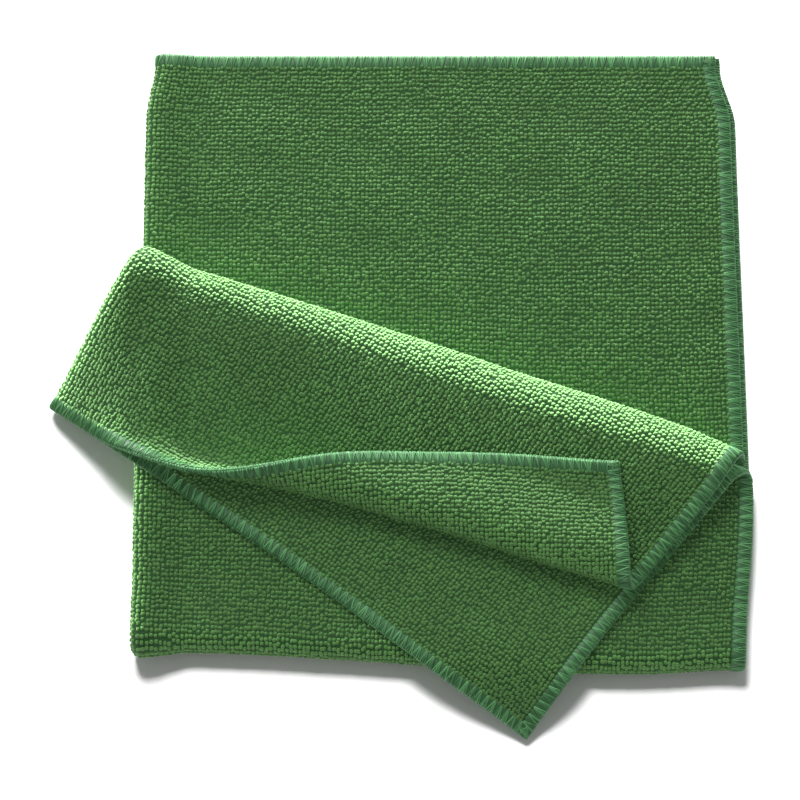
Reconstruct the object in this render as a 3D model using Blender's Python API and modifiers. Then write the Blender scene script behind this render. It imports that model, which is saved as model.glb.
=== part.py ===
"""Folded microfibre cloth, in metres, +Z up.

One square of terry is folded in half (the fold is its left edge) and in half again (the fold is its
front edge). The upper two layers are then turned back over themselves along a slanting ridge, and
the front corner of the topmost leaf is curled up and over. The whole cloth is one sheet, so it is
one solid: a flat grid whose points are carried through the four folds in turn, then thickened.
"""
import math
from collections import namedtuple

import bmesh
import bpy
import numpy as np

MM = 0.001
DEGREE = math.pi / 180.0

# The flat cloth. Across runs from its right hem (+) to its left hem (-), along from back (+) to front (-).
SHEET_WIDTH = 390.0 * MM
SHEET_LENGTH = 400.0 * MM
THICKNESS = 2.0 * MM
PITCH = 2.4 * MM                 # from the middle of one layer to the middle of the next

# The middle of the folded pile, measured from where its left and front folds cross.
CENTRE = (80.93 * MM, 83.94 * MM)

# Each fold turns on the middle of the cloth at `radius`, and comes down to its pitch over `settle`.
LEFT_FOLD_AT = 2.5 * MM          # how far right of the sheet's middle the left fold starts
LEFT_RADIUS = 2.2 * MM
LEFT_SETTLE = 16.0 * MM
FRONT_FOLD_AT = 3.0 * MM         # how far behind the sheet's middle the front fold starts
FRONT_RADIUS = 1.8 * MM          # of its inner layer
FRONT_SETTLE = 18.0 * MM
FRONT_RUN = FRONT_RADIUS + PITCH # radius of the outer layer, which sets the cloth that the fold takes
FRONT_END = FRONT_FOLD_AT - math.pi * FRONT_RUN

# The ridge leaves the left fold at this distance behind the front fold.
RIDGE_START = 119.2 * MM
RIDGE_ANGLE_INNER = 18.6 * DEGREE
RIDGE_ANGLE_OUTER = 17.9 * DEGREE
RIDGE_SETTLE = 46.0 * MM
RidgeStation = namedtuple("RidgeStation", "distance run sag")
RIDGE_STATIONS = (               # length of its inner layer round the roll, and how far that sags forwards
    RidgeStation(distance=0.0 * MM, run=10.5 * MM, sag=0.0 * MM),
    RidgeStation(distance=120.0 * MM, run=20.0 * MM, sag=0.0 * MM),
    RidgeStation(distance=175.0 * MM, run=22.0 * MM, sag=0.5 * MM),
    RidgeStation(distance=205.0 * MM, run=19.5 * MM, sag=4.6 * MM),
)
SAG_SHARE = 0.75                 # share of the roll over which the sag comes in

# The flap fans out: how far its threads are turned, and the share of its length lost in ripples.
FlapSide = namedtuple("FlapSide", "turned ripple")
FLAP_LEFT = FlapSide(turned=29.0 * DEGREE, ripple=0.0)
FLAP_RIGHT_INNER = FlapSide(turned=37.3 * DEGREE, ripple=0.105)
FLAP_RIGHT_OUTER = FlapSide(turned=34.0 * DEGREE, ripple=0.2)
FLAP_ROLL = 0.99 * math.pi       # past this much of the ridge's turn the cloth is flap

# The flap comes down from the folded stack to the surface over these distances outside it.
DROP_START_LEFT = 4.0 * MM
DROP_END_LEFT = 34.0 * MM
DROP_START_FRONT = 2.0 * MM
DROP_END_FRONT = 30.0 * MM
FLOOR_CLEARANCE = 0.4 * MM
FLAP_PITCH = 2.9 * MM            # from the stack's top layer to the flap's lower leaf
LEAF_LOOSENESS = 0.6 * MM        # how much further apart the flap's leaves lie, away from their fold

# The folded pile is not quite square: how far its edges lie outside the true rectangle.
OutlineStation = namedtuple("OutlineStation", "at offset")
LEFT_EDGE = (
    OutlineStation(at=0.0 * MM, offset=0.0 * MM),
    OutlineStation(at=175.0 * MM, offset=0.0 * MM),
    OutlineStation(at=194.0 * MM, offset=-2.6 * MM),
)
RIGHT_EDGE = (
    OutlineStation(at=-6.0 * MM, offset=-3.0 * MM),
    OutlineStation(at=50.0 * MM, offset=1.2 * MM),
    OutlineStation(at=174.0 * MM, offset=0.5 * MM),
    OutlineStation(at=194.0 * MM, offset=-4.0 * MM),
)
FRONT_EDGE = (
    OutlineStation(at=0.0 * MM, offset=-3.0 * MM),
    OutlineStation(at=160.0 * MM, offset=4.0 * MM),
    OutlineStation(at=187.0 * MM, offset=2.8 * MM),
)

# The curl of the topmost leaf: its crease, from the left to the right hem, seen from above.
CURL_LEFT = (-15.0 * MM, 69.9 * MM)
CURL_RIGHT = (169.0 * MM, 22.3 * MM)
CURL_PITCH = 3.2 * MM
CURL_SETTLE = 26.0 * MM
CURL_LYING = 0.6                 # share of a half turn past which the turned-up strip starts to lie down
CurlStation = namedtuple("CurlStation", "distance angle radius")
CURL_STATIONS = (
    CurlStation(distance=0.0 * MM, angle=0.0 * DEGREE, radius=13.6 * MM),
    CurlStation(distance=24.0 * MM, angle=60.0 * DEGREE, radius=11.6 * MM),
    CurlStation(distance=50.0 * MM, angle=125.0 * DEGREE, radius=8.8 * MM),
    CurlStation(distance=76.0 * MM, angle=170.0 * DEGREE, radius=6.4 * MM),
    CurlStation(distance=104.0 * MM, angle=180.0 * DEGREE, radius=5.5 * MM),
    CurlStation(distance=190.0 * MM, angle=180.0 * DEGREE, radius=5.5 * MM),
)
NARROWEST_STRIP = 6.0 * MM

SECTION_NODES = 8                # points at which the ridge's section is summed

# Grid lines: how many cells each stretch of the sheet gets.
HALF_COLUMNS = 19
FOLD_COLUMNS = 8
BACK_ROWS = 7
FRONT_FOLD_ROWS = 7
FRONT_ROWS = 7
RIDGE_ROWS = 9
FLAP_ROWS = 9
STRIP_STEPS = (0.0, 0.05, 0.1, 0.15, 0.2, 0.25, 0.31, 0.38, 0.46, 0.56, 0.7, 0.85, 1.0)


def smoothstep(value):
    """Ease from 0 to 1 as value goes from 0 to 1."""
    value = np.clip(value, 0.0, 1.0)
    return value * value * (3.0 - 2.0 * value)


def turn(run, radius, limit=math.pi):
    """Follow cloth that turns upwards on a radius, through `limit` at most, and then goes straight.

    Returns how far forwards it gets and how far up, after `run` along the cloth.
    """
    angle = np.clip(run / radius, 0.0, limit)
    straight = run - angle * radius
    forward = radius * np.sin(angle) + straight * np.cos(angle)
    rise = radius * (1.0 - np.cos(angle)) + straight * np.sin(angle)
    return forward, rise


def pair_height(x):
    """Height from the lower to the upper of two layers that share the left fold."""
    lofty = 2.0 * LEFT_RADIUS
    return lofty + (PITCH - lofty) * smoothstep(x / LEFT_SETTLE)


def stack_height(x, y):
    """Height of the folded stack's top layer, easing down to the surface outside its edges."""
    front_loft = (2.0 * FRONT_RADIUS - PITCH) * (1.0 - smoothstep(y / FRONT_SETTLE))
    top = 2.0 * pair_height(x) + PITCH + front_loft
    surface = FLOOR_CLEARANCE - FLAP_PITCH
    left_drop = smoothstep((-x - DROP_START_LEFT) / (DROP_END_LEFT - DROP_START_LEFT))
    front_drop = smoothstep((-y - DROP_START_FRONT) / (DROP_END_FRONT - DROP_START_FRONT))
    return surface + (top - surface) * (1.0 - left_drop) * (1.0 - front_drop)


def steepness(x, y):
    """How much further cloth that follows the stack's slope reaches than it does in plan."""
    step = 1.0 * MM
    slope_x = (stack_height(x + step, y) - stack_height(x - step, y)) / (2.0 * step)
    slope_y = (stack_height(x, y + step) - stack_height(x, y - step)) / (2.0 * step)
    return np.sqrt(1.0 + slope_x ** 2 + slope_y ** 2)


def offset_along(edge, at):
    """How far an edge lies outside the true rectangle, eased from station to station."""
    offset = np.full_like(at, edge[0].offset)
    for near, far in zip(edge, edge[1:]):
        offset += (far.offset - near.offset) * smoothstep((at - near.at) / (far.at - near.at))
    return offset


def uneven(x, y):
    """Shift a plan position as the outline of the pile wanders."""
    width = SHEET_WIDTH / 2.0 - LEFT_FOLD_AT
    length = SHEET_LENGTH / 2.0 - FRONT_FOLD_AT
    share_x = np.clip(x / width, 0.0, 1.0)
    share_y = np.clip(y / length, 0.0, 1.0)
    shift_x = offset_along(RIGHT_EDGE, y) * share_x - offset_along(LEFT_EDGE, y) * (1.0 - share_x)
    shift_y = -offset_along(FRONT_EDGE, x) * (1.0 - share_y)
    return x + shift_x, y + shift_y


def left_fold(across):
    """First fold. Returns x, and the share of the way up from the lower layer to the upper one."""
    forward, rise = turn(LEFT_FOLD_AT - across, LEFT_RADIUS)
    return -forward, rise / (2.0 * LEFT_RADIUS)


def between(start, end, share):
    """The value a share of the way from start to end."""
    return start + (end - start) * share


def ridge_frame(x, y, share):
    """The ridge's angle, and the distances along it and past it, for a point in plan."""
    angle = between(RIDGE_ANGLE_INNER, RIDGE_ANGLE_OUTER, share)
    along = x * np.cos(angle) - (y - RIDGE_START) * np.sin(angle)
    past = x * np.sin(angle) + (y - RIDGE_START) * np.cos(angle)
    return angle, along, past


def ridge_plan(angle, along, past):
    """The plan position at these distances along the ridge and past it."""
    x = along * np.cos(angle) + past * np.sin(angle)
    y = RIDGE_START - along * np.sin(angle) + past * np.cos(angle)
    return x, y


def along_stations(stations, column, at):
    """A column of a table of stations, read at these distances along a smooth curve through them."""
    distances = np.array([station.distance for station in stations])
    values = np.array([getattr(station, column) for station in stations])
    slopes = np.gradient(values, distances)
    at = np.clip(at, distances[0], distances[-1])
    near = np.clip(np.searchsorted(distances, at) - 1, 0, len(distances) - 2)
    span = distances[near + 1] - distances[near]
    share = (at - distances[near]) / span
    eased = smoothstep(share)
    start = slopes[near] * span * share * (1.0 - share) ** 2
    end = slopes[near + 1] * span * share ** 2 * (1.0 - share)
    return values[near] * (1.0 - eased) + values[near + 1] * eased + start - end


def flap_spread(angle, along, share, round_roll, straight):
    """Distance along the ridge and forwards from it, for cloth `round_roll` and then `straight`."""
    rightwards = np.clip(along / (SHEET_WIDTH / 2.0), 0.0, 1.0)
    turned_right = between(FLAP_RIGHT_INNER.turned, FLAP_RIGHT_OUTER.turned, share)
    ripple_right = between(FLAP_RIGHT_INNER.ripple, FLAP_RIGHT_OUTER.ripple, share)
    lean = 2.0 * angle - between(FLAP_LEFT.turned, turned_right, rightwards)
    length = straight * (1.0 - between(FLAP_LEFT.ripple, ripple_right, rightwards))
    return along + (length + round_roll) * np.sin(lean), length * np.cos(lean)


def curl_frame(x, y):
    """Distances along the curl's crease and past it, for a point in plan."""
    length = math.dist(CURL_LEFT, CURL_RIGHT)
    step_x = (CURL_RIGHT[0] - CURL_LEFT[0]) / length
    step_y = (CURL_RIGHT[1] - CURL_LEFT[1]) / length
    along = (x - CURL_LEFT[0]) * step_x + (y - CURL_LEFT[1]) * step_y
    past = (x - CURL_LEFT[0]) * step_y - (y - CURL_LEFT[1]) * step_x
    return (step_x, step_y), along, past


def curl(x, y, share):
    """Fourth fold: turn the topmost leaf's front edge up and over. Returns plan and rise."""
    (step_x, step_y), along, past = curl_frame(x, y)
    limit = np.clip(along_stations(CURL_STATIONS, "angle", along), 0.0, math.pi)
    radius = along_stations(CURL_STATIONS, "radius", along)
    limit = limit * smoothstep(2.0 * share - 1.0)
    forward, rise = turn(past, radius, limit)
    straight = np.maximum(past - limit * radius, 0.0)
    lying = smoothstep((limit / math.pi - CURL_LYING) / (1.0 - CURL_LYING))
    rise = rise - (2.0 * radius - CURL_PITCH) * lying * smoothstep(straight / CURL_SETTLE)
    curled_x = CURL_LEFT[0] + along * step_x + forward * step_y
    curled_y = CURL_LEFT[1] + along * step_y - forward * step_x
    return curled_x, curled_y, rise


def section(share):
    """The ridge's section, a share of the way round a roll of length 1: forward, rise and angle.

    It turns tightly where it leaves the stack, and ever more gently towards its crown.
    """
    nodes, weights = np.polynomial.legendre.leggauss(SECTION_NODES)
    reached = share[..., None] * (nodes + 1.0) / 2.0
    angle = math.pi * (1.0 - (1.0 - reached) ** 2)
    forward = share * (np.cos(angle) @ weights) / 2.0
    rise = share * (np.sin(angle) @ weights) / 2.0
    return forward, rise, math.pi * (1.0 - (1.0 - share) ** 2)


def section_share(past, run):
    """How much of the section the outer layer has gone round, this far past the ridge's start."""
    extra = math.pi * PITCH
    half = run / 2.0 + extra
    past = np.clip(past, 0.0, run + extra)
    return (half - np.sqrt(half ** 2 - extra * past)) / extra


def flap_plan(across, along):
    """Plan position of a point of the upper pair, and its share of the way round the ridge."""
    x, share = left_fold(across)
    y = FRONT_END - along
    angle, ridge_along, past = ridge_frame(x, y, share)
    run = along_stations(RIDGE_STATIONS, "run", ridge_along)
    sag = along_stations(RIDGE_STATIONS, "sag", ridge_along)
    rolled = section_share(past, run)
    forward, _, roll = section(rolled)
    used = np.clip(past, 0.0, run + math.pi * PITCH)
    straight = np.maximum(past - used, 0.0)
    spread_along, spread = flap_spread(angle, ridge_along, share, used, straight)
    round_ridge = run * forward + share * pair_height(x) * np.sin(roll)
    sagged = sag * smoothstep(roll / (SAG_SHARE * math.pi))
    reach = np.minimum(past, 0.0) + round_ridge - spread - sagged
    plan_x, plan_y = ridge_plan(angle, spread_along, reach)
    return plan_x, plan_y, rolled


def lower_pair(across, along):
    """The two layers on the surface, and the front fold that leads out of them."""
    x, share = left_fold(across)
    height = share * pair_height(x)
    centre = pair_height(x) + FRONT_RADIUS
    angle = np.clip((FRONT_FOLD_AT - along) / FRONT_RUN, 0.0, math.pi)
    behind = np.maximum(along - FRONT_FOLD_AT, 0.0)
    y = behind - (centre - height) * np.sin(angle)
    z = centre - (centre - height) * np.cos(angle)
    return x, y, z


def upper_pair(across, along):
    """The two layers that run back to the ridge, and the two leaves of the flap beyond it."""
    flat_x, share = left_fold(across)
    layer_height = share * pair_height(flat_x)
    looseness = share * LEAF_LOOSENESS * smoothstep(flat_x / (2.0 * LEFT_SETTLE))
    x, y, rolled = flap_plan(across, along)
    _, section_rise, roll = section(rolled)
    curled_x, curled_y, rise = curl(x, y, share)
    turned = roll > FLAP_ROLL
    x = np.where(turned, curled_x, x)
    y = np.where(turned, curled_y, y)
    rise = np.where(turned, rise, 0.0)
    over = (1.0 - np.cos(roll)) / 2.0
    _, ridge_along, past = ridge_frame(x, y, 1.0)
    run = along_stations(RIDGE_STATIONS, "run", ridge_along)
    crown = run * section(np.ones(1))[1]
    settled = (crown - FLAP_PITCH) * smoothstep(-past / RIDGE_SETTLE)
    z = stack_height(x, y) + run * section_rise - layer_height * np.cos(roll)
    z += over * ((steepness(x, y) - 1.0) * (FLAP_PITCH + layer_height) + looseness - settled) + rise
    return x, y, z


def cloth_point(across, along):
    """Where a point of the flat sheet ends up on the middle of the folded cloth."""
    lower = np.stack(lower_pair(across, along), axis=-1)
    upper = np.stack(upper_pair(across, along), axis=-1)
    point = np.where((along < FRONT_END)[..., None], upper, lower)
    x, y = uneven(point[..., 0], point[..., 1])
    return np.stack((x - CENTRE[0], y - CENTRE[1], point[..., 2] + THICKNESS / 2.0), axis=-1)


def columns():
    """Across positions of the grid's lines, from the right hem round the left fold to the left hem."""
    half = SHEET_WIDTH / 2.0
    fold_end = LEFT_FOLD_AT - math.pi * LEFT_RADIUS
    even = np.linspace(0.0, 1.0, HALF_COLUMNS + 1)
    eased = even ** 1.25
    right = LEFT_FOLD_AT + (half - LEFT_FOLD_AT) * eased[::-1]
    fold = np.linspace(LEFT_FOLD_AT, fold_end, FOLD_COLUMNS + 1)[1:-1]
    left = fold_end + (-half - fold_end) * eased
    return np.concatenate((right, fold, left))


def crease_row(across, wanted):
    """Along position at which a column's flap meets the curl's crease, or `wanted` short of its hem."""
    far = -SHEET_LENGTH / 2.0
    near = far + 20.0 * MM
    past = []
    for row in (near, far):
        x, y, _ = flap_plan(across, np.full_like(across, row))
        past.append(curl_frame(x, y)[2])
    crease = near + (far - near) * past[0] / (past[0] - past[1])
    share = left_fold(across)[1]
    crease = np.where(share > 0.5, crease, far)
    return np.maximum(crease, far + wanted)


def rows(across):
    """Along positions of the grid's lines in each column, from the back hem to the front hem."""
    half = SHEET_LENGTH / 2.0
    x, share = left_fold(across)
    angle = between(RIDGE_ANGLE_INNER, RIDGE_ANGLE_OUTER, share)
    ridge_y = RIDGE_START - x * np.tan(angle)
    ridge_start = FRONT_END - ridge_y
    run = along_stations(RIDGE_STATIONS, "run", x / np.cos(angle)) + math.pi * PITCH
    ridge_end = ridge_start - run / np.cos(angle)
    crease = crease_row(across, NARROWEST_STRIP)
    stretches = (
        (np.full_like(across, half), FRONT_FOLD_AT, BACK_ROWS),
        (FRONT_FOLD_AT, FRONT_END, FRONT_FOLD_ROWS),
        (FRONT_END, ridge_start, FRONT_ROWS),
        (ridge_start, ridge_end, RIDGE_ROWS),
        (ridge_end, crease, FLAP_ROWS),
    )
    lines = []
    for start, end, count in stretches:
        for step in range(count):
            lines.append(start + (end - start) * step / count)
    for step in STRIP_STEPS:
        lines.append(crease + (-half - crease) * step)
    return np.array([np.broadcast_to(line, across.shape) for line in lines])


def folded_sheet():
    """A flat grid whose points are carried through the folds, thickened to the cloth."""
    across = columns()
    along = rows(across)
    across = np.broadcast_to(across, along.shape)
    points = cloth_point(across, along)
    row_count, column_count = along.shape
    grid = bmesh.new()
    bmesh.ops.create_grid(grid, x_segments=column_count - 1, y_segments=row_count - 1, size=1.0)
    for vertex in grid.verts:
        column = round((vertex.co.x + 1.0) / 2.0 * (column_count - 1))
        row = round((vertex.co.y + 1.0) / 2.0 * (row_count - 1))
        vertex.co = points[row, column]
    bmesh.ops.reverse_faces(grid, faces=grid.faces)
    mesh = bpy.data.meshes.new("cloth")
    grid.to_mesh(mesh)
    grid.free()
    mesh.shade_smooth()
    cloth = bpy.data.objects.new("cloth", mesh)
    thicken = cloth.modifiers.new("thickness", "SOLIDIFY")
    thicken.thickness = THICKNESS
    thicken.offset = 0.0
    thicken.use_even_offset = True
    return cloth


def terry_material():
    """Mid-green microfibre terry: matt, with no shine of its own."""
    material = bpy.data.materials.new("green_terry")
    material.use_nodes = True
    shader = material.node_tree.nodes["Principled BSDF"]
    shader.inputs["Base Color"].default_value = (0.045, 0.205, 0.045, 1.0)
    shader.inputs["Roughness"].default_value = 0.95
    shader.inputs["Metallic"].default_value = 0.0
    return material


def clear_scene():
    for item in list(bpy.data.objects):
        bpy.data.objects.remove(item, do_unlink=True)


def main():
    clear_scene()
    collection = bpy.data.collections.new("microfibre_cloth")
    bpy.context.scene.collection.children.link(collection)
    cloth = folded_sheet()
    cloth.data.materials.append(terry_material())
    collection.objects.link(cloth)


main()
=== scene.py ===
"""Looks of the folded microfibre cloth, in metres, +Z up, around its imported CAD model.

The sheet is laid in a flat pattern, whose points are carried through the same folds as the CAD solid.
On it stand the loops of the pile, wherever they can be seen, and an overlocked hem runs round its edge.
"""
import math
from collections import namedtuple

import bpy
import numpy as np
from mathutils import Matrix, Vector
from mathutils.bvhtree import BVHTree


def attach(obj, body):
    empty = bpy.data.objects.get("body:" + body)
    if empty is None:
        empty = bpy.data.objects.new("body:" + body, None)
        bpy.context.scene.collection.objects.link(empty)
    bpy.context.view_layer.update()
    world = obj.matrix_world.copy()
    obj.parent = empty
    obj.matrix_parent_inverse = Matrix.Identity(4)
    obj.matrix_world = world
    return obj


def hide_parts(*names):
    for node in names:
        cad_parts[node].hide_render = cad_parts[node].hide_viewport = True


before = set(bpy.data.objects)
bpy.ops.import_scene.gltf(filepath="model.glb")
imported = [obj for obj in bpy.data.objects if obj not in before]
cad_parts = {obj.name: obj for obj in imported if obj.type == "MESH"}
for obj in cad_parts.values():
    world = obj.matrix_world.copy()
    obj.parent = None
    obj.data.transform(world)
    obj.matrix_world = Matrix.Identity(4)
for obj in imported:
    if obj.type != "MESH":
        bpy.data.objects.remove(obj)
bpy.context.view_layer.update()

MM = 0.001
DEGREE = math.pi / 180.0

# The flat cloth. Across runs from its right hem (+) to its left hem (-), along from back (+) to front (-).
SHEET_WIDTH = 390.0 * MM
SHEET_LENGTH = 400.0 * MM
CAD_THICKNESS = 2.0 * MM
PITCH = 2.4 * MM                 # from the middle of one layer to the middle of the next

# The middle of the folded pile, measured from where its left and front folds cross.
CENTRE = (80.93 * MM, 83.94 * MM)

# Each fold turns on the middle of the cloth at `radius`, and comes down to its pitch over `settle`.
LEFT_FOLD_AT = 2.5 * MM          # how far right of the sheet's middle the left fold starts
LEFT_RADIUS = 2.2 * MM
LEFT_SETTLE = 16.0 * MM
FRONT_FOLD_AT = 3.0 * MM         # how far behind the sheet's middle the front fold starts
FRONT_RADIUS = 1.8 * MM          # of its inner layer
FRONT_SETTLE = 18.0 * MM
FRONT_RUN = FRONT_RADIUS + PITCH # radius of the outer layer, which sets the cloth that the fold takes
FRONT_END = FRONT_FOLD_AT - math.pi * FRONT_RUN

# The ridge leaves the left fold at this distance behind the front fold.
RIDGE_START = 119.2 * MM
RIDGE_ANGLE_INNER = 18.6 * DEGREE
RIDGE_ANGLE_OUTER = 17.9 * DEGREE
RIDGE_SETTLE = 46.0 * MM
RidgeStation = namedtuple("RidgeStation", "distance run sag")
RIDGE_STATIONS = (               # length of its inner layer round the roll, and how far that sags forwards
    RidgeStation(distance=0.0 * MM, run=10.5 * MM, sag=0.0 * MM),
    RidgeStation(distance=120.0 * MM, run=20.0 * MM, sag=0.0 * MM),
    RidgeStation(distance=175.0 * MM, run=22.0 * MM, sag=0.5 * MM),
    RidgeStation(distance=205.0 * MM, run=19.5 * MM, sag=4.6 * MM),
)
SAG_SHARE = 0.75                 # share of the roll over which the sag comes in

# The flap fans out: how far its threads are turned, and the share of its length lost in ripples.
FlapSide = namedtuple("FlapSide", "turned ripple")
FLAP_LEFT = FlapSide(turned=29.0 * DEGREE, ripple=0.0)
FLAP_RIGHT_INNER = FlapSide(turned=37.3 * DEGREE, ripple=0.105)
FLAP_RIGHT_OUTER = FlapSide(turned=34.0 * DEGREE, ripple=0.2)
FLAP_ROLL = 0.99 * math.pi       # past this much of the ridge's turn the cloth is flap

# The flap comes down from the folded stack to the surface over these distances outside it.
DROP_START_LEFT = 4.0 * MM
DROP_END_LEFT = 34.0 * MM
DROP_START_FRONT = 2.0 * MM
DROP_END_FRONT = 30.0 * MM
FLOOR_CLEARANCE = 0.4 * MM
FLAP_PITCH = 2.9 * MM            # from the stack's top layer to the flap's lower leaf
LEAF_LOOSENESS = 0.6 * MM        # how much further apart the flap's leaves lie, away from their fold

# The folded pile is not quite square: how far its edges lie outside the true rectangle.
OutlineStation = namedtuple("OutlineStation", "at offset")
LEFT_EDGE = (
    OutlineStation(at=0.0 * MM, offset=0.0 * MM),
    OutlineStation(at=175.0 * MM, offset=0.0 * MM),
    OutlineStation(at=194.0 * MM, offset=-2.6 * MM),
)
RIGHT_EDGE = (
    OutlineStation(at=-6.0 * MM, offset=-3.0 * MM),
    OutlineStation(at=50.0 * MM, offset=1.2 * MM),
    OutlineStation(at=174.0 * MM, offset=0.5 * MM),
    OutlineStation(at=194.0 * MM, offset=-4.0 * MM),
)
FRONT_EDGE = (
    OutlineStation(at=0.0 * MM, offset=-3.0 * MM),
    OutlineStation(at=160.0 * MM, offset=4.0 * MM),
    OutlineStation(at=187.0 * MM, offset=2.8 * MM),
)

# The curl of the topmost leaf: its crease, from the left to the right hem, seen from above.
CURL_LEFT = (-15.0 * MM, 69.9 * MM)
CURL_RIGHT = (169.0 * MM, 22.3 * MM)
CURL_PITCH = 3.2 * MM
CURL_SETTLE = 26.0 * MM
CURL_LYING = 0.6                 # share of a half turn past which the turned-up strip starts to lie down
CurlStation = namedtuple("CurlStation", "distance angle radius")
CURL_STATIONS = (
    CurlStation(distance=0.0 * MM, angle=0.0 * DEGREE, radius=13.6 * MM),
    CurlStation(distance=24.0 * MM, angle=60.0 * DEGREE, radius=11.6 * MM),
    CurlStation(distance=50.0 * MM, angle=125.0 * DEGREE, radius=8.8 * MM),
    CurlStation(distance=76.0 * MM, angle=170.0 * DEGREE, radius=6.4 * MM),
    CurlStation(distance=104.0 * MM, angle=180.0 * DEGREE, radius=5.5 * MM),
    CurlStation(distance=190.0 * MM, angle=180.0 * DEGREE, radius=5.5 * MM),
)
NARROWEST_STRIP = 6.0 * MM

SECTION_NODES = 8                # points at which the ridge's section is summed

# Grid lines of the sheet: how many cells each stretch of it gets.
HALF_COLUMNS = 62
FOLD_COLUMNS = 12
BACK_ROWS = 62
FRONT_FOLD_ROWS = 10
FRONT_ROWS = 34
RIDGE_ROWS = 16
FLAP_ROWS = 44
STRIP_ROWS = 40

# The knitted ground and its pile. A loop stands `LOOP_HEIGHT` above the ground.
GROUND_HALF = 0.55 * MM          # half of the ground's thickness
LOOP_ACROSS = 1.35 * MM          # from one loop to the next
LOOP_ALONG = 1.5 * MM
LOOP_HALF_WIDTH = 0.7 * MM
LOOP_HALF_LENGTH = 0.8 * MM
LOOP_HEIGHT = 0.65 * MM
LOOP_SIDES = 6
LoopRing = namedtuple("LoopRing", "radius height")
LOOP_RINGS = (                   # a loop's outline at its foot and its shoulder, as shares of its size
    LoopRing(radius=0.9, height=-0.25),
    LoopRing(radius=0.95, height=0.45),
)
LOOP_SPIN = 12.0 * DEGREE        # how much the loops differ in heading, as a standard deviation
LOOP_LEAN = 0.22                 # and in how far they lean
LOOP_SIZE_RANGE = (0.82, 1.12)
LOOP_HEIGHT_RANGE = (0.75, 1.2)
OWN_TINT = 0.45                  # how much a loop's own shade counts
TIP_PAINTED_HIGHLIGHT = 0.5                   # painted highlight: how much lighter its tip is painted, leaving its root darker as painted shade
BEND_HIGHLIGHT_RADIUS = 9.0 * MM           # a bend this tight or tighter gets the full painted highlight
BEND_HIGHLIGHT_TINT = 0.7                  # painted highlight: how much lighter the pile is painted where the cloth bends away from it
LIGHT_DISTANCE = 1.3             # from the origin to each light, in metres

# The overlocked hem: a bed of thread wrapped round the edge, with single strands on top of it.
HEM_WIDTH = 4.2 * MM
STITCH_PITCH = 2.8 * MM
BedStation = namedtuple("BedStation", "inset lift")
BED_STATIONS = (                 # half of the bed's section: how far in from the edge, and off the middle
    BedStation(inset=4.25 * MM, lift=0.45 * MM),
    BedStation(inset=3.9 * MM, lift=0.78 * MM),
    BedStation(inset=2.4 * MM, lift=0.86 * MM),
    BedStation(inset=0.7 * MM, lift=0.80 * MM),
    BedStation(inset=0.0 * MM, lift=0.60 * MM),
    BedStation(inset=-0.3 * MM, lift=0.2 * MM),
)
BED_STEP = 0.47 * MM
BED_SCALLOP = 0.3 * MM
BED_RIDGE = 0.07 * MM
StrandStation = namedtuple("StrandStation", "share inset lift")
STRAND_STATIONS = (              # a strand from its needle hole to the edge
    StrandStation(share=0.0, inset=4.15 * MM, lift=0.4 * MM),
    StrandStation(share=0.12, inset=3.7 * MM, lift=0.96 * MM),
    StrandStation(share=0.5, inset=2.0 * MM, lift=1.04 * MM),
    StrandStation(share=0.85, inset=0.5 * MM, lift=0.96 * MM),
    StrandStation(share=1.0, inset=-0.25 * MM, lift=0.6 * MM),
)
STRAND_FAN = (-0.8 * MM, -0.1 * MM, 0.6 * MM, 1.3 * MM)    # how far along the hem each strand gets
STRAND_RADIUS = 0.26 * MM
STRAND_SIDES = 4
# Strands are painted from the bed's shade up to lighter, at random: painted highlight with random tone.
STRAND_TONE_AND_HIGHLIGHT_RANGE = (0.25, 1.05)
CHAIN_STEP = 0.93 * MM           # from one link of the chain on the very edge to the next
CHAIN_OUT = 0.15 * MM            # how far the chain lies outside the edge
CHAIN_HALF_LENGTH = 0.5 * MM
CHAIN_HALF_WIDTH = 0.62 * MM
CHAIN_HEIGHT = 0.45 * MM
# The chain on the edge is painted lighter than the bed, by a random amount: painted highlight with random
# tone.
CHAIN_TONE_AND_HIGHLIGHT_RANGE = (0.45, 1.0)
# Painted shade: the bed under the strands is painted darker.
BED_PAINTED_SHADE = 0.25

# Colours from the deepest to the brightest shade, as linear red, green and blue.
# The pile's brighter colour is reached mostly at painted highlights, on loop tips and on convex bends.
PILE_COLOURS = ((0.02, 0.08, 0.014), (0.1, 0.27, 0.06))
GROUND_COLOURS = ((0.015, 0.08, 0.014), (0.03, 0.12, 0.03))
# The thread's dark colour is painted shade on the bed, its light colour painted highlight on strands and
# chain.
THREAD_COLOURS = ((0.018, 0.088, 0.027), (0.15, 0.42, 0.16))


def smoothstep(value):
    """Ease from 0 to 1 as value goes from 0 to 1."""
    value = np.clip(value, 0.0, 1.0)
    return value * value * (3.0 - 2.0 * value)


def turn(run, radius, limit=math.pi):
    """Follow cloth that turns upwards on a radius, through `limit` at most, and then goes straight.

    Returns how far forwards it gets and how far up, after `run` along the cloth.
    """
    angle = np.clip(run / radius, 0.0, limit)
    straight = run - angle * radius
    forward = radius * np.sin(angle) + straight * np.cos(angle)
    rise = radius * (1.0 - np.cos(angle)) + straight * np.sin(angle)
    return forward, rise


def pair_height(x):
    """Height from the lower to the upper of two layers that share the left fold."""
    lofty = 2.0 * LEFT_RADIUS
    return lofty + (PITCH - lofty) * smoothstep(x / LEFT_SETTLE)


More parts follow.
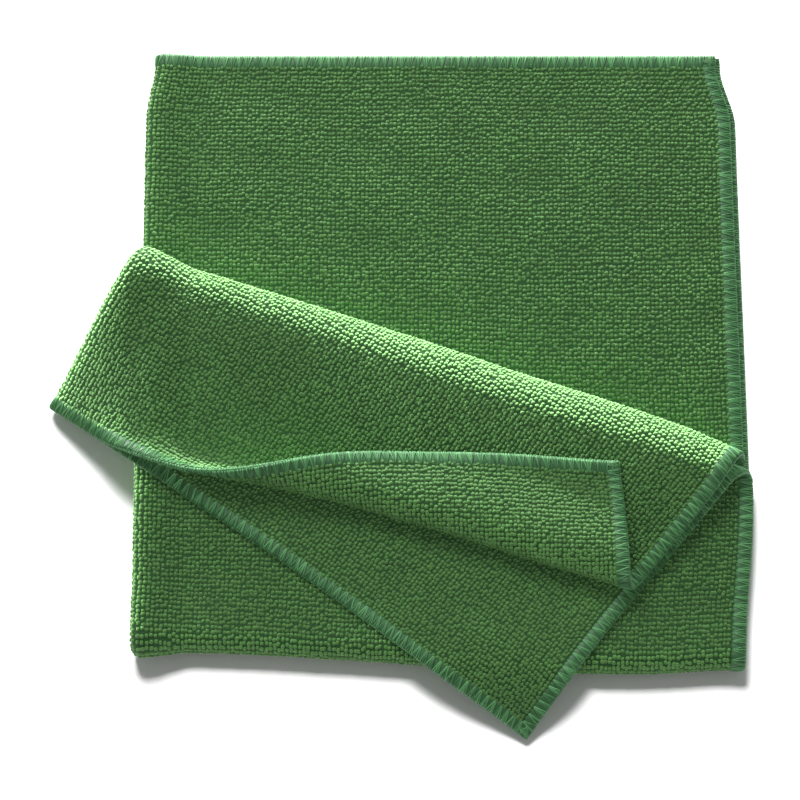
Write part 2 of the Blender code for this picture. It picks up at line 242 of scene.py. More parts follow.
def stack_height(x, y):
    """Height of the folded stack's top layer, easing down to the surface outside its edges."""
    front_loft = (2.0 * FRONT_RADIUS - PITCH) * (1.0 - smoothstep(y / FRONT_SETTLE))
    top = 2.0 * pair_height(x) + PITCH + front_loft
    surface = FLOOR_CLEARANCE - FLAP_PITCH
    left_drop = smoothstep((-x - DROP_START_LEFT) / (DROP_END_LEFT - DROP_START_LEFT))
    front_drop = smoothstep((-y - DROP_START_FRONT) / (DROP_END_FRONT - DROP_START_FRONT))
    return surface + (top - surface) * (1.0 - left_drop) * (1.0 - front_drop)


def steepness(x, y):
    """How much further cloth that follows the stack's slope reaches than it does in plan."""
    step = 1.0 * MM
    slope_x = (stack_height(x + step, y) - stack_height(x - step, y)) / (2.0 * step)
    slope_y = (stack_height(x, y + step) - stack_height(x, y - step)) / (2.0 * step)
    return np.sqrt(1.0 + slope_x ** 2 + slope_y ** 2)


def offset_along(edge, at):
    """How far an edge lies outside the true rectangle, eased from station to station."""
    offset = np.full_like(at, edge[0].offset)
    for near, far in zip(edge, edge[1:]):
        offset += (far.offset - near.offset) * smoothstep((at - near.at) / (far.at - near.at))
    return offset


def uneven(x, y):
    """Shift a plan position as the outline of the pile wanders."""
    width = SHEET_WIDTH / 2.0 - LEFT_FOLD_AT
    length = SHEET_LENGTH / 2.0 - FRONT_FOLD_AT
    share_x = np.clip(x / width, 0.0, 1.0)
    share_y = np.clip(y / length, 0.0, 1.0)
    shift_x = offset_along(RIGHT_EDGE, y) * share_x - offset_along(LEFT_EDGE, y) * (1.0 - share_x)
    shift_y = -offset_along(FRONT_EDGE, x) * (1.0 - share_y)
    return x + shift_x, y + shift_y


def left_fold(across):
    """First fold. Returns x, and the share of the way up from the lower layer to the upper one."""
    forward, rise = turn(LEFT_FOLD_AT - across, LEFT_RADIUS)
    return -forward, rise / (2.0 * LEFT_RADIUS)


def between(start, end, share):
    """The value a share of the way from start to end."""
    return start + (end - start) * share


def ridge_frame(x, y, share):
    """The ridge's angle, and the distances along it and past it, for a point in plan."""
    angle = between(RIDGE_ANGLE_INNER, RIDGE_ANGLE_OUTER, share)
    along = x * np.cos(angle) - (y - RIDGE_START) * np.sin(angle)
    past = x * np.sin(angle) + (y - RIDGE_START) * np.cos(angle)
    return angle, along, past


def ridge_plan(angle, along, past):
    """The plan position at these distances along the ridge and past it."""
    x = along * np.cos(angle) + past * np.sin(angle)
    y = RIDGE_START - along * np.sin(angle) + past * np.cos(angle)
    return x, y


def along_stations(stations, column, at):
    """A column of a table of stations, read at these distances along a smooth curve through them."""
    distances = np.array([station.distance for station in stations])
    values = np.array([getattr(station, column) for station in stations])
    slopes = np.gradient(values, distances)
    at = np.clip(at, distances[0], distances[-1])
    near = np.clip(np.searchsorted(distances, at) - 1, 0, len(distances) - 2)
    span = distances[near + 1] - distances[near]
    share = (at - distances[near]) / span
    eased = smoothstep(share)
    start = slopes[near] * span * share * (1.0 - share) ** 2
    end = slopes[near + 1] * span * share ** 2 * (1.0 - share)
    return values[near] * (1.0 - eased) + values[near + 1] * eased + start - end


def flap_spread(angle, along, share, round_roll, straight):
    """Distance along the ridge and forwards from it, for cloth `round_roll` and then `straight`."""
    rightwards = np.clip(along / (SHEET_WIDTH / 2.0), 0.0, 1.0)
    turned_right = between(FLAP_RIGHT_INNER.turned, FLAP_RIGHT_OUTER.turned, share)
    ripple_right = between(FLAP_RIGHT_INNER.ripple, FLAP_RIGHT_OUTER.ripple, share)
    lean = 2.0 * angle - between(FLAP_LEFT.turned, turned_right, rightwards)
    length = straight * (1.0 - between(FLAP_LEFT.ripple, ripple_right, rightwards))
    return along + (length + round_roll) * np.sin(lean), length * np.cos(lean)


def curl_frame(x, y):
    """Distances along the curl's crease and past it, for a point in plan."""
    length = math.dist(CURL_LEFT, CURL_RIGHT)
    step_x = (CURL_RIGHT[0] - CURL_LEFT[0]) / length
    step_y = (CURL_RIGHT[1] - CURL_LEFT[1]) / length
    along = (x - CURL_LEFT[0]) * step_x + (y - CURL_LEFT[1]) * step_y
    past = (x - CURL_LEFT[0]) * step_y - (y - CURL_LEFT[1]) * step_x
    return (step_x, step_y), along, past


def curl(x, y, share):
    """Fourth fold: turn the topmost leaf's front edge up and over. Returns plan and rise."""
    (step_x, step_y), along, past = curl_frame(x, y)
    limit = np.clip(along_stations(CURL_STATIONS, "angle", along), 0.0, math.pi)
    radius = along_stations(CURL_STATIONS, "radius", along)
    limit = limit * smoothstep(2.0 * share - 1.0)
    forward, rise = turn(past, radius, limit)
    straight = np.maximum(past - limit * radius, 0.0)
    lying = smoothstep((limit / math.pi - CURL_LYING) / (1.0 - CURL_LYING))
    rise = rise - (2.0 * radius - CURL_PITCH) * lying * smoothstep(straight / CURL_SETTLE)
    curled_x = CURL_LEFT[0] + along * step_x + forward * step_y
    curled_y = CURL_LEFT[1] + along * step_y - forward * step_x
    return curled_x, curled_y, rise


def section(share):
    """The ridge's section, a share of the way round a roll of length 1: forward, rise and angle.

    It turns tightly where it leaves the stack, and ever more gently towards its crown.
    """
    nodes, weights = np.polynomial.legendre.leggauss(SECTION_NODES)
    reached = share[..., None] * (nodes + 1.0) / 2.0
    angle = math.pi * (1.0 - (1.0 - reached) ** 2)
    forward = share * (np.cos(angle) @ weights) / 2.0
    rise = share * (np.sin(angle) @ weights) / 2.0
    return forward, rise, math.pi * (1.0 - (1.0 - share) ** 2)


def section_share(past, run):
    """How much of the section the outer layer has gone round, this far past the ridge's start."""
    extra = math.pi * PITCH
    half = run / 2.0 + extra
    past = np.clip(past, 0.0, run + extra)
    return (half - np.sqrt(half ** 2 - extra * past)) / extra


def flap_plan(across, along):
    """Plan position of a point of the upper pair, and its share of the way round the ridge."""
    x, share = left_fold(across)
    y = FRONT_END - along
    angle, ridge_along, past = ridge_frame(x, y, share)
    run = along_stations(RIDGE_STATIONS, "run", ridge_along)
    sag = along_stations(RIDGE_STATIONS, "sag", ridge_along)
    rolled = section_share(past, run)
    forward, _, roll = section(rolled)
    used = np.clip(past, 0.0, run + math.pi * PITCH)
    straight = np.maximum(past - used, 0.0)
    spread_along, spread = flap_spread(angle, ridge_along, share, used, straight)
    round_ridge = run * forward + share * pair_height(x) * np.sin(roll)
    sagged = sag * smoothstep(roll / (SAG_SHARE * math.pi))
    reach = np.minimum(past, 0.0) + round_ridge - spread - sagged
    plan_x, plan_y = ridge_plan(angle, spread_along, reach)
    return plan_x, plan_y, rolled


def lower_pair(across, along):
    """The two layers on the surface, and the front fold that leads out of them."""
    x, share = left_fold(across)
    height = share * pair_height(x)
    centre = pair_height(x) + FRONT_RADIUS
    angle = np.clip((FRONT_FOLD_AT - along) / FRONT_RUN, 0.0, math.pi)
    behind = np.maximum(along - FRONT_FOLD_AT, 0.0)
    y = behind - (centre - height) * np.sin(angle)
    z = centre - (centre - height) * np.cos(angle)
    return x, y, z


def upper_pair(across, along):
    """The two layers that run back to the ridge, and the two leaves of the flap beyond it."""
    flat_x, share = left_fold(across)
    layer_height = share * pair_height(flat_x)
    looseness = share * LEAF_LOOSENESS * smoothstep(flat_x / (2.0 * LEFT_SETTLE))
    x, y, rolled = flap_plan(across, along)
    _, section_rise, roll = section(rolled)
    curled_x, curled_y, rise = curl(x, y, share)
    turned = roll > FLAP_ROLL
    x = np.where(turned, curled_x, x)
    y = np.where(turned, curled_y, y)
    rise = np.where(turned, rise, 0.0)
    over = (1.0 - np.cos(roll)) / 2.0
    _, ridge_along, past = ridge_frame(x, y, 1.0)
    run = along_stations(RIDGE_STATIONS, "run", ridge_along)
    crown = run * section(np.ones(1))[1]
    settled = (crown - FLAP_PITCH) * smoothstep(-past / RIDGE_SETTLE)
    z = stack_height(x, y) + run * section_rise - layer_height * np.cos(roll)
    z += over * ((steepness(x, y) - 1.0) * (FLAP_PITCH + layer_height) + looseness - settled) + rise
    return x, y, z


def cloth_point(across, along):
    """Where a point of the flat sheet ends up on the middle of the folded cloth."""
    lower = np.stack(lower_pair(across, along), axis=-1)
    upper = np.stack(upper_pair(across, along), axis=-1)
    point = np.where((along < FRONT_END)[..., None], upper, lower)
    x, y = uneven(point[..., 0], point[..., 1])
    return np.stack((x - CENTRE[0], y - CENTRE[1], point[..., 2] + CAD_THICKNESS / 2.0), axis=-1)


Surface = namedtuple("Surface", "point across along normal")


def unit(vectors):
    """The same vectors, each 1 long."""
    return vectors / np.linalg.norm(vectors, axis=-1, keepdims=True)


def surface(across, along):
    """The folded cloth at points of the flat sheet: where it is, and its directions there.

    The normal points to the face that is up on the lowest layer.
    """
    step = 0.3 * MM
    point = cloth_point(across, along)
    step_across = unit(cloth_point(across + step, along) - cloth_point(across - step, along))
    step_along = unit(cloth_point(across, along + step) - cloth_point(across, along - step))
    normal = unit(np.cross(step_across, step_along))
    return Surface(point, step_across, np.cross(normal, step_across), normal)


def columns():
    """Across positions of the grid's lines, from the right hem round the left fold to the left hem."""
    half = SHEET_WIDTH / 2.0
    fold_end = LEFT_FOLD_AT - math.pi * LEFT_RADIUS
    right = np.linspace(half, LEFT_FOLD_AT, HALF_COLUMNS + 1)
    fold = np.linspace(LEFT_FOLD_AT, fold_end, FOLD_COLUMNS + 1)[1:-1]
    left = np.linspace(fold_end, -half, HALF_COLUMNS + 1)
    return np.concatenate((right, fold, left))


def crease_row(across):
    """Along position at which a column's flap meets the curl's crease, or just short of its hem."""
    far = -SHEET_LENGTH / 2.0
    near = far + 20.0 * MM
    past = []
    for row in (near, far):
        x, y, _ = flap_plan(across, np.full_like(across, row))
        past.append(curl_frame(x, y)[2])
    crease = near + (far - near) * past[0] / (past[0] - past[1])
    share = left_fold(across)[1]
    crease = np.where(share > 0.5, crease, far)
    return np.maximum(crease, far + NARROWEST_STRIP)


def rows(across):
    """Along positions of the grid's lines in each column, from the back hem to the front hem."""
    half = SHEET_LENGTH / 2.0
    x, share = left_fold(across)
    angle = between(RIDGE_ANGLE_INNER, RIDGE_ANGLE_OUTER, share)
    ridge_y = RIDGE_START - x * np.tan(angle)
    ridge_start = FRONT_END - ridge_y
    run = along_stations(RIDGE_STATIONS, "run", x / np.cos(angle)) + math.pi * PITCH
    ridge_end = ridge_start - run / np.cos(angle)
    crease = crease_row(across)
    stretches = (
        (half, FRONT_FOLD_AT, BACK_ROWS),
        (FRONT_FOLD_AT, FRONT_END, FRONT_FOLD_ROWS),
        (FRONT_END, ridge_start, FRONT_ROWS),
        (ridge_start, ridge_end, RIDGE_ROWS),
        (ridge_end, crease, FLAP_ROWS),
        (crease, -half, STRIP_ROWS),
    )
    lines = [np.full_like(across, half)]
    for start, end, count in stretches:
        for step in range(1, count + 1):
            lines.append(between(start, end, step / count) + 0.0 * across)
    return np.array(lines)


def new_object(name, points, faces, material, tint=None):
    """A smooth-shaded mesh object from arrays of points and faces, with a shade for each point."""
    mesh = bpy.data.meshes.new(name)
    mesh.from_pydata(points, [], faces)
    mesh.shade_smooth()
    if tint is not None:
        mesh.attributes.new("tint", "FLOAT", "POINT").data.foreach_set("value", tint.astype(np.float32))
    mesh.materials.append(material)
    made = bpy.data.objects.new(name, mesh)
    collection.objects.link(made)
    return made


def grid_faces(row_count, column_count, start=0):
    """Faces of a grid of points that are numbered row by row."""
    number = start + np.arange(row_count * column_count).reshape(row_count, column_count)
    corners = (number[:-1, :-1], number[1:, :-1], number[1:, 1:], number[:-1, 1:])
    return np.stack(corners, axis=-1).reshape(-1, 4)


def ground_sheet(material):
    """The knitted ground: both of its faces on a fine grid, and a rim that joins them."""
    across = columns()
    along = rows(across)
    across = np.broadcast_to(across, along.shape)
    laid = surface(across, along)
    row_count, column_count = along.shape
    top = (laid.point + laid.normal * GROUND_HALF).reshape(-1, 3)
    bottom = (laid.point - laid.normal * GROUND_HALF).reshape(-1, 3)
    count = row_count * column_count
    faces = grid_faces(row_count, column_count)
    number = np.arange(count).reshape(row_count, column_count)
    loop = np.concatenate((number[0, :-1], number[:-1, -1], number[-1, :0:-1], number[:0:-1, 0]))
    following = np.roll(loop, -1)
    rim = np.stack((loop, following, following + count, loop + count), axis=-1)
    every_face = np.concatenate((faces, faces[:, ::-1] + count, rim))
    return new_object("sheet", np.concatenate((top, bottom)), every_face, material)


def seen_from_outside(tree, point, normal, side_a, side_b, lift):
    """Whether any of a fan of rays from a point gets clear of the cloth and of what it lies on."""
    start = point + normal * lift
    reach = 60.0 * MM
    for tilt, count in ((0.0, 1), (35.0 * DEGREE, 4), (65.0 * DEGREE, 6)):
        for spoke in range(count):
            angle = 2.0 * math.pi * (spoke + 0.5) / count
            sideways = side_a * math.cos(angle) + side_b * math.sin(angle)
            direction = normal * math.cos(tilt) + sideways * math.sin(tilt)
            if direction.z < 0.0 and start.z < -direction.z * 5.0 * MM:
                continue
            if tree.ray_cast(start, direction, reach)[0] is None:
                return True
    return False


def visible(tree, laid, side, lift):
    """Which of many points, on one side of the folded cloth, can be seen from outside."""
    kept = [
        seen_from_outside(tree, Vector(point), Vector(normal), Vector(across), Vector(along), lift)
        for point, normal, across, along in zip(laid.point, laid.normal * side, laid.across, laid.along)
    ]
    return np.array(kept)


def cloth_tree():
    """The middle of the folded cloth as a tree for rays to hit."""
    across = columns()
    along = rows(across)
    points = cloth_point(np.broadcast_to(across, along.shape), along)
    row_count, column_count = along.shape
    faces = grid_faces(row_count, column_count)
    return BVHTree.FromPolygons(points.reshape(-1, 3).tolist(), faces.tolist())


def pick(laid, kept):
    """The same surface at only some of its points."""
    return Surface(*[field[kept] for field in laid])


def wander(across, along):
    """A slow drift of the loops from their straight rows and columns."""
    drift_across = np.sin(along / (7.0 * MM)) + np.sin(across / (11.0 * MM) + along / (23.0 * MM))
    drift_along = np.sin(across / (9.0 * MM)) + np.sin(along / (13.0 * MM) - across / (17.0 * MM))
    return across + 0.12 * MM * drift_across, along + 0.18 * MM * drift_along


def flattened(across, along):
    """How tall the pile stands, where it has been pressed down in soft uneven patches."""
    patches = np.sin(across / (8.3 * MM) + 1.7 * np.sin(along / (19.0 * MM)))
    patches = patches * np.sin(along / (6.1 * MM) + 1.3 * np.sin(across / (27.0 * MM)))
    streaks = np.sin(along / (3.7 * MM) + 0.8 * np.sin(across / (31.0 * MM)))
    return 0.92 + 0.14 * patches + 0.06 * streaks


def bend_highlight(across, along, side):
    """How much painted highlight the pile on one side gets, where the cloth bends away from it."""
    reach = 1.5 * MM
    bends = []
    for step_across, step_along in ((reach, 0.0), (0.0, reach)):
        before = surface(across - step_across, along - step_along)
        after = surface(across + step_across, along + step_along)
        chord = after.point - before.point
        turn = np.einsum("nc,nc->n", after.normal - before.normal, chord) * side
        bends.append(turn / np.einsum("nc,nc->n", chord, chord))
    return np.clip(np.maximum(*bends) * BEND_HIGHLIGHT_RADIUS, 0.0, 1.0)


def loop_places(random):
    """Flat positions of every loop of the pile, inside the hem."""
    half_width = SHEET_WIDTH / 2.0 - HEM_WIDTH
    half_length = SHEET_LENGTH / 2.0 - HEM_WIDTH
    across = np.arange(-half_width, half_width, LOOP_ACROSS)
    along = np.arange(-half_length, half_length, LOOP_ALONG)
    across, along = (field.ravel() for field in np.meshgrid(across, along))
    across, along = wander(across, along)
    across = across + random.normal(0.0, 0.13 * MM, across.shape)
    along = along + random.normal(0.0, 0.2 * MM, along.shape)
    return across, along


def loop_template():
    """One loop of pile as a low dome: its points, in halves of its width and length and in its height."""
    turns = 2.0 * math.pi * np.arange(LOOP_SIDES) / LOOP_SIDES
    rings = []
    for ring in LOOP_RINGS:
        level = np.full_like(turns, ring.height)
        rings.append(np.stack((ring.radius * np.cos(turns), ring.radius * np.sin(turns), level), axis=-1))
    points = np.concatenate((*rings, [(0.0, 0.0, 1.0)]))
    faces = []
    for side in range(LOOP_SIDES):
        after = (side + 1) % LOOP_SIDES
        faces.append((side, after, LOOP_SIDES + after))
        faces.append((side, LOOP_SIDES + after, LOOP_SIDES + side))
        faces.append((LOOP_SIDES + side, LOOP_SIDES + after, 2 * LOOP_SIDES))
    return points, np.array(faces)


def pile(name, laid, tall, spread, side, random, material):
    """Loops of pile on one side in one mesh, with painted highlights on their tips and on the cloth's
    convex bends.
    """
    template, template_faces = loop_template()
    count = len(laid.point)
    spin = random.normal(0.0, LOOP_SPIN, count)[:, None]
    wide = laid.across * np.cos(spin) + laid.along * np.sin(spin)
    long = laid.along * np.cos(spin) - laid.across * np.sin(spin)
    normal = laid.normal * side
    lean = random.normal(0.0, LOOP_LEAN, (count, 2))
    up = normal + laid.across * lean[:, :1] + laid.along * lean[:, 1:]
    wide = wide * (LOOP_HALF_WIDTH * random.uniform(*LOOP_SIZE_RANGE, (count, 1)) * side)
    long = long * (LOOP_HALF_LENGTH * random.uniform(*LOOP_SIZE_RANGE, (count, 1)))
    up = up * (LOOP_HEIGHT * tall * random.uniform(*LOOP_HEIGHT_RANGE, count))[:, None]
    axes = np.stack((wide, long, up), axis=1)
    root = laid.point + normal * GROUND_HALF
    points = root[:, None, :] + np.einsum("pa,nac->npc", template, axes)
    faces = template_faces[None] + len(template) * np.arange(count)[:, None, None]
    # Painted highlight: each loop is painted lighter towards its tip and darker towards its root.
    tip_highlight_share = np.clip(template[:, 2], 0.0, 1.0)
    own = random.uniform(0.0, 1.0, count) * tall
    # own is a random tone for each loop; the tip share and spread are painted highlight, on the tips and
    # on convex bends.
    tint = (OWN_TINT * own[:, None] + TIP_PAINTED_HIGHLIGHT * tip_highlight_share + BEND_HIGHLIGHT_TINT * spread[:, None]).ravel()
    return new_object(name, points.reshape(-1, 3), faces.reshape(-1, 3), material, tint)


Hem = namedtuple("Hem", "start step inward length")


def hems():
    """The four hems in the flat sheet, one after the other round its edge."""
    half_width = SHEET_WIDTH / 2.0
    half_length = SHEET_LENGTH / 2.0
    return (
        Hem(start=(half_width, -half_length), step=(0.0, 1.0), inward=(-1.0, 0.0), length=SHEET_LENGTH),
        Hem(start=(half_width, half_length), step=(-1.0, 0.0), inward=(0.0, -1.0), length=SHEET_WIDTH),
        Hem(start=(-half_width, half_length), step=(0.0, -1.0), inward=(1.0, 0.0), length=SHEET_LENGTH),
        Hem(start=(-half_width, -half_length), step=(1.0, 0.0), inward=(0.0, 1.0), length=SHEET_WIDTH),
    )


def hem_surface(hem, run, inset):
    """The folded cloth at distances along a hem and in from the edge."""
    across = hem.start[0] + hem.step[0] * run + hem.inward[0] * inset
    along = hem.start[1] + hem.step[1] * run + hem.inward[1] * inset
    return surface(across, along)


def column_of(stations, name):
    """One column of a table of stations."""
    return np.array([getattr(station, name) for station in stations])


def hem_bed(hem):
    """The bed of thread along one hem: points and faces of a closed tube with a scalloped inner edge."""
    count = round(hem.length / BED_STEP) + 1
    run = np.linspace(-0.2 * MM, hem.length + 0.2 * MM, count)[:, None]
    inset = np.concatenate((column_of(BED_STATIONS, "inset"), column_of(BED_STATIONS, "inset")[::-1]))
    lift = np.concatenate((column_of(BED_STATIONS, "lift"), -column_of(BED_STATIONS, "lift")[::-1]))
    phase = 2.0 * math.pi * run / STITCH_PITCH
    inner = np.clip(inset / HEM_WIDTH, 0.0, 1.0) ** 4
    inset = inset + BED_SCALLOP * inner * np.cos(phase)
    ridge = BED_RIDGE * np.cos(3.0 * phase + inset / (0.5 * MM))
    laid = hem_surface(hem, run + 0.0 * inset, inset)
    points = laid.point + laid.normal * (lift + np.sign(lift) * ridge)[..., None]
    ring = len(lift)
    faces = grid_faces(count, ring)
    number = np.arange(count * ring).reshape(count, ring)
    closing = np.stack((number[:-1, -1], number[1:, -1], number[1:, 0], number[:-1, 0]), axis=-1)
    caps = [tuple(number[0]), tuple(number[-1, ::-1])]
    return points.reshape(-1, 3), [*map(tuple, faces), *map(tuple, closing), *caps]


def tube_faces(rings, sides):
    """Faces of a closed tube of rings of points."""
    number = np.arange(rings * sides).reshape(rings, sides)
    following = np.roll(number, -1, axis=1)
    around = np.stack((number[:-1], following[:-1], following[1:], number[1:]), axis=-1).reshape(-1, 4)
    return [*map(tuple, around), tuple(number[0, ::-1]), tuple(number[-1])]


def strands(hem, side, random, tree):
    """Strands of thread over one face of one hem: a fan of them from each needle hole to the edge."""
    holes = np.arange(0.5 * STITCH_PITCH, hem.length, STITCH_PITCH)
    holes = holes + random.normal(0.0, 0.12 * MM, holes.shape)
    starts = np.concatenate([holes + 0.12 * number * MM for number in range(len(STRAND_FAN))])
    drift = np.concatenate([np.full_like(holes, fan) for fan in STRAND_FAN])
    drift = drift + random.normal(0.0, 0.15 * MM, drift.shape)
    share = column_of(STRAND_STATIONS, "share")
    run = starts[:, None] + drift[:, None] * share
    run = np.clip(run, 0.0, hem.length)
    inset = np.broadcast_to(column_of(STRAND_STATIONS, "inset"), run.shape)
    middle = hem_surface(hem, run[:, 2], inset[:, 2])
    seen = visible(tree, middle, side, 1.3 * MM)
    run, inset = run[seen], inset[seen]
    laid = hem_surface(hem, run, inset)
    out = laid.normal * side
    line = laid.point + out * column_of(STRAND_STATIONS, "lift")[:, None]
    forward = unit(np.gradient(line, axis=1))
    sideways = unit(np.cross(forward, out))
    upwards = np.cross(sideways, forward)
    turns = 2.0 * math.pi * np.arange(STRAND_SIDES) / STRAND_SIDES
    radius = STRAND_RADIUS * random.uniform(0.75, 1.2, len(line))[:, None, None, None]
    ring = sideways[:, :, None] * np.cos(turns)[:, None] + upwards[:, :, None] * np.sin(turns)[:, None]
    points = line[:, :, None] + ring * radius
    one = tube_faces(len(STRAND_STATIONS), STRAND_SIDES)
    size = len(STRAND_STATIONS) * STRAND_SIDES
    starts = range(0, size * len(line), size)
    faces = [tuple(corner + start for corner in face) for start in starts for face in one]
    # Painted highlight: each strand is painted from the bed's shade up to lighter, by a random amount.
    tint = np.repeat(random.uniform(*STRAND_TONE_AND_HIGHLIGHT_RANGE, len(line)), size)
    return points.reshape(-1, 3), faces, tint


def domes(laid, wide, long, up, random):
    """Small domes at points of the cloth, along three directions whose lengths are their sizes."""
    template, template_faces = loop_template()
    axes = np.stack((wide, long, up), axis=1)
    points = laid[:, None, :] + np.einsum("pa,nac->npc", template, axes)
    faces = template_faces[None] + len(template) * np.arange(len(laid))[:, None, None]
    # Painted highlight: each dome is painted lighter than the bed, by a random amount.
    tint = np.repeat(random.uniform(*CHAIN_TONE_AND_HIGHLIGHT_RANGE, len(laid)), len(template))
    return points.reshape(-1, 3), [*map(tuple, faces.reshape(-1, 3).tolist())], tint


def edge_chain(hem, random):
    """The chain where the threads cross over on the very edge."""
    run = np.arange(0.3 * MM, hem.length, CHAIN_STEP)
    run = run + random.normal(0.0, 0.08 * MM, run.shape)
    laid = hem_surface(hem, run, np.full_like(run, -CHAIN_OUT))
    out = unit(laid.point - hem_surface(hem, run, np.full_like(run, 1.0 * MM)).point)
    long = unit(np.cross(laid.normal, out)) * CHAIN_HALF_LENGTH
    slant = random.normal(0.0, 0.25, (len(run), 1))
    wide = (laid.normal + unit(long) * slant) * CHAIN_HALF_WIDTH
    wide = wide * np.sign(np.einsum("nc,nc->n", np.cross(wide, long), out))[:, None]
    return domes(laid.point, wide, long, out * CHAIN_HEIGHT, random)


def join_parts(name, parts, material):
    """One mesh object from several lots of points, faces and shades."""
    points = np.concatenate([part[0] for part in parts])
    tint = np.concatenate([part[2] for part in parts])
    faces = []
    start = 0
    for part_points, part_faces, _ in parts:
        faces.extend(tuple(int(corner) + start for corner in face) for face in part_faces)
        start += len(part_points)
    return new_object(name, points, faces, material, tint)


def thread_material():
    """Polyester thread: smooth bluish green, with painted highlight on the raised strands and chain and
    painted shade on the bed beneath them.
    """
    material = bpy.data.materials.new("hem_thread")
    material.use_nodes = True
    nodes = material.node_tree.nodes
    links = material.node_tree.links
    shader = nodes["Principled BSDF"]
    tint = nodes.new("ShaderNodeAttribute")
    tint.attribute_name = "tint"
    colour = mix_colours(nodes, links, tint.outputs["Fac"], *THREAD_COLOURS)
    links.new(colour, shader.inputs["Base Color"])
    place = nodes.new("ShaderNodeTexCoord")
    fibres = nodes.new("ShaderNodeTexNoise")
    fibres.inputs["Scale"].default_value = 4000.0
    links.new(place.outputs["Object"], fibres.inputs["Vector"])
    bump = nodes.new("ShaderNodeBump")
    bump.inputs["Strength"].default_value = 0.5
    bump.inputs["Distance"].default_value = 0.1 * MM
    links.new(fibres.outputs["Fac"], bump.inputs["Height"])
    links.new(bump.outputs["Normal"], shader.inputs["Normal"])
    shader.inputs["Roughness"].default_value = 0.5
    return material


def mix_colours(nodes, links, factor, low, high):
    """A node that mixes two colours by a factor."""
    mix = nodes.new("ShaderNodeMix")
    mix.data_type = "RGBA"
    mix.clamp_factor = False
    mix.inputs["A"].default_value = (*low, 1.0)
    mix.inputs["B"].default_value = (*high, 1.0)
    links.new(factor, mix.inputs["Factor"])
    return mix.outputs["Result"]


def pile_material(name, deep, bright):
    """Microfibre pile: matt loops that differ a little in tone and carry painted highlights in their tint,
    with fine fibres.
    """
    material = bpy.data.materials.new(name)
    material.use_nodes = True
    nodes = material.node_tree.nodes
    links = material.node_tree.links
    shader = nodes["Principled BSDF"]
    # The tint attribute holds each loop's random tone and its painted highlight.
    tint = nodes.new("ShaderNodeAttribute")
    tint.attribute_name = "tint"
    place = nodes.new("ShaderNodeTexCoord")
    patches = nodes.new("ShaderNodeTexNoise")
    patches.inputs["Scale"].default_value = 90.0
    patches.inputs["Detail"].default_value = 3.0
    links.new(place.outputs["Object"], patches.inputs["Vector"])
    blend = nodes.new("ShaderNodeMath")
    blend.operation = "MULTIPLY_ADD"
    blend.inputs[1].default_value = 0.6
    links.new(tint.outputs["Fac"], blend.inputs[0])
    share = nodes.new("ShaderNodeMath")
    share.operation = "MULTIPLY"
    share.inputs[1].default_value = 0.6
    links.new(patches.outputs["Fac"], share.inputs[0])
    links.new(share.outputs["Value"], blend.inputs[2])
    colour = mix_colours(nodes, links, blend.outputs["Value"], deep, bright)
    links.new(colour, shader.inputs["Base Color"])
    fibres = nodes.new("ShaderNodeTexNoise")
    fibres.inputs["Scale"].default_value = 3200.0
    fibres.inputs["Detail"].default_value = 2.0
    links.new(place.outputs["Object"], fibres.inputs["Vector"])
    bump = nodes.new("ShaderNodeBump")
    bump.inputs["Strength"].default_value = 0.7
    bump.inputs["Distance"].default_value = 0.15 * MM
    links.new(fibres.outputs["Fac"], bump.inputs["Height"])
    links.new(bump.outputs["Normal"], shader.inputs["Normal"])
    shader.inputs["Roughness"].default_value = 0.85
    shader.inputs["Sheen Weight"].default_value = 0.6
    shader.inputs["Sheen Tint"].default_value = (0.6, 1.0, 0.5, 1.0)
    shader.inputs["Sheen Roughness"].default_value = 0.5
    return material


def add_light(name, direction, size, power, receivers, shadow=True):
    """A soft rectangular light that shines from a direction, on the objects of one collection."""
    data = bpy.data.lights.new(name, "AREA")
    data.shape = "RECTANGLE"
    data.size, data.size_y = size
    data.energy = power
    data.use_shadow = shadow
    light = bpy.data.objects.new(name, data)
    towards = Vector(direction).normalized()
    light.location = towards * LIGHT_DISTANCE
    light.rotation_euler = towards.to_track_quat("Z", "Y").to_euler()
    light.light_linking.receiver_collection = receivers
    bpy.context.scene.collection.objects.link(light)


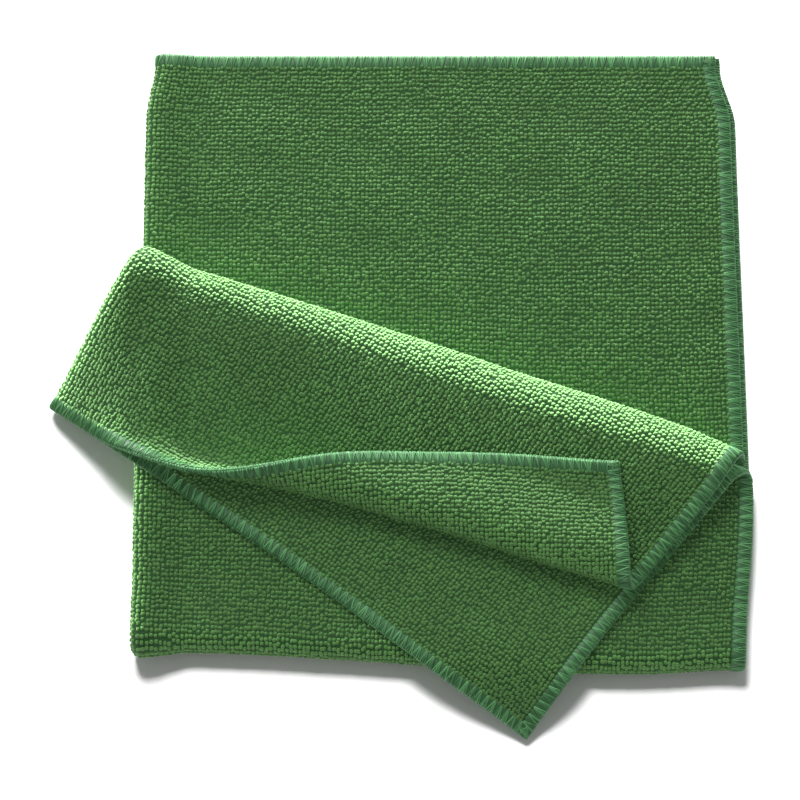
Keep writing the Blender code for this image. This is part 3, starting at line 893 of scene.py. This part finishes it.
def add_studio():
    """A pale floor with its own light, soft lights on the cloth, and a dim white surround.

    The fill from behind casts no shadow. `folded_back` holds the outer pile of the folded-back part, which
    has low lights of its own to bring out the ridge.
    """
    mesh = bpy.data.meshes.new("floor")
    reach = 3.0
    corners = ((-reach, -reach, 0.0), (reach, -reach, 0.0), (reach, reach, 0.0), (-reach, reach, 0.0))
    mesh.from_pydata(corners, [], [(0, 1, 2, 3)])
    floor = bpy.data.objects.new("floor", mesh)
    material = bpy.data.materials.new("floor_paper")
    material.use_nodes = True
    shader = material.node_tree.nodes["Principled BSDF"]
    shader.inputs["Base Color"].default_value = (0.9, 0.9, 0.9, 1.0)
    shader.inputs["Roughness"].default_value = 0.9
    mesh.materials.append(material)
    stage = bpy.data.collections.new("stage")
    bpy.context.scene.collection.children.link(stage)
    stage.objects.link(floor)
    world = bpy.data.worlds.new("studio")
    world.use_nodes = True
    background = world.node_tree.nodes["Background"]
    background.inputs["Color"].default_value = (1.0, 1.0, 1.0, 1.0)
    background.inputs["Strength"].default_value = 0.28
    bpy.context.scene.world = world
    add_light("floor_light", (-0.15, 0.7, 1.0), (0.35, 0.35), 32.0, stage)
    add_light("low_back", (-0.15, 1.0, 0.04), (0.6, 0.03), 92.0, folded_back)
    add_light("low_left", (-1.0, 0.3, 0.05), (0.4, 0.04), 24.0, folded_back)
    add_light("low_back_all", (-0.15, 1.0, 0.04), (0.6, 0.03), 30.0, collection)
    add_light("back_fill", (-0.2, 1.0, 0.25), (0.4, 0.4), 9.0, collection, shadow=False)
    add_light("top_fill", (-0.3, 0.5, 0.9), (0.5, 0.5), 7.5, collection)
    bpy.context.scene.view_settings.view_transform = "Standard"


def add_camera():
    """The camera, high in front of the cloth."""
    target = Vector((0.56 * MM, -5.33 * MM, 8.0 * MM))
    elevation = 78.0 * DEGREE
    distance = 0.70
    back = Vector((0.0, -math.cos(elevation), math.sin(elevation)))
    data = bpy.data.cameras.new("camera")
    data.lens = 97.83
    data.sensor_width = 36.0
    data.clip_start = 0.01
    camera = bpy.data.objects.new("camera", data)
    camera.location = target + back * distance
    camera.rotation_euler = back.to_track_quat("Z", "Y").to_euler()
    bpy.context.scene.collection.objects.link(camera)
    bpy.context.scene.camera = camera


random = np.random.default_rng(7)
collection = bpy.data.collections.new("microfibre_cloth")
bpy.context.scene.collection.children.link(collection)
folded_back = bpy.data.collections.new("folded_back")
add_camera()
add_studio()
terry = pile_material("green_terry_pile", *PILE_COLOURS)
ground = pile_material("green_terry_ground", *GROUND_COLOURS)
sheet = ground_sheet(ground)
tree = cloth_tree()
across, along = loop_places(random)
piles = []
for side, face_name in ((1.0, "inner"), (-1.0, "outer")):
    laid = surface(across, along)
    kept = visible(tree, laid, side, GROUND_HALF + LOOP_HEIGHT)
    for leaf_name, leaf in (("base", along > FRONT_END), ("flap", along <= FRONT_END)):
        for half_name, half in (("right", across > 0.0), ("left", across <= 0.0)):
            chosen = kept & leaf & half
            if not chosen.any():
                continue
            tall = flattened(across[chosen], along[chosen])
            # spread is a painted highlight on convex bends, such as the ridge and the fold rims.
            spread = bend_highlight(across[chosen], along[chosen], side)
            name = f"pile_{face_name}_{leaf_name}_{half_name}"
            piles.append(pile(name, pick(laid, chosen), tall, spread, side, random, terry))

for piece in piles:
    if piece.name.startswith("pile_outer_flap"):
        folded_back.objects.link(piece)

thread = thread_material()
beds = []
stitches = []
for hem in hems():
    points, faces = hem_bed(hem)
    # Painted shade: the bed is painted darker than the strands on it.
    beds.append((points, faces, np.full(len(points), BED_PAINTED_SHADE)))
    stitches.append(edge_chain(hem, random))
    for side in (1.0, -1.0):
        stitches.append(strands(hem, side, random, tree))
bed = join_parts("hem_bed", beds, thread)
stitching = join_parts("hem_stitching", stitches, thread)

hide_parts("cloth")
for piece in (sheet, *piles):
    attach(piece, "root")
for piece in (bed, stitching):
    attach(piece, "root")
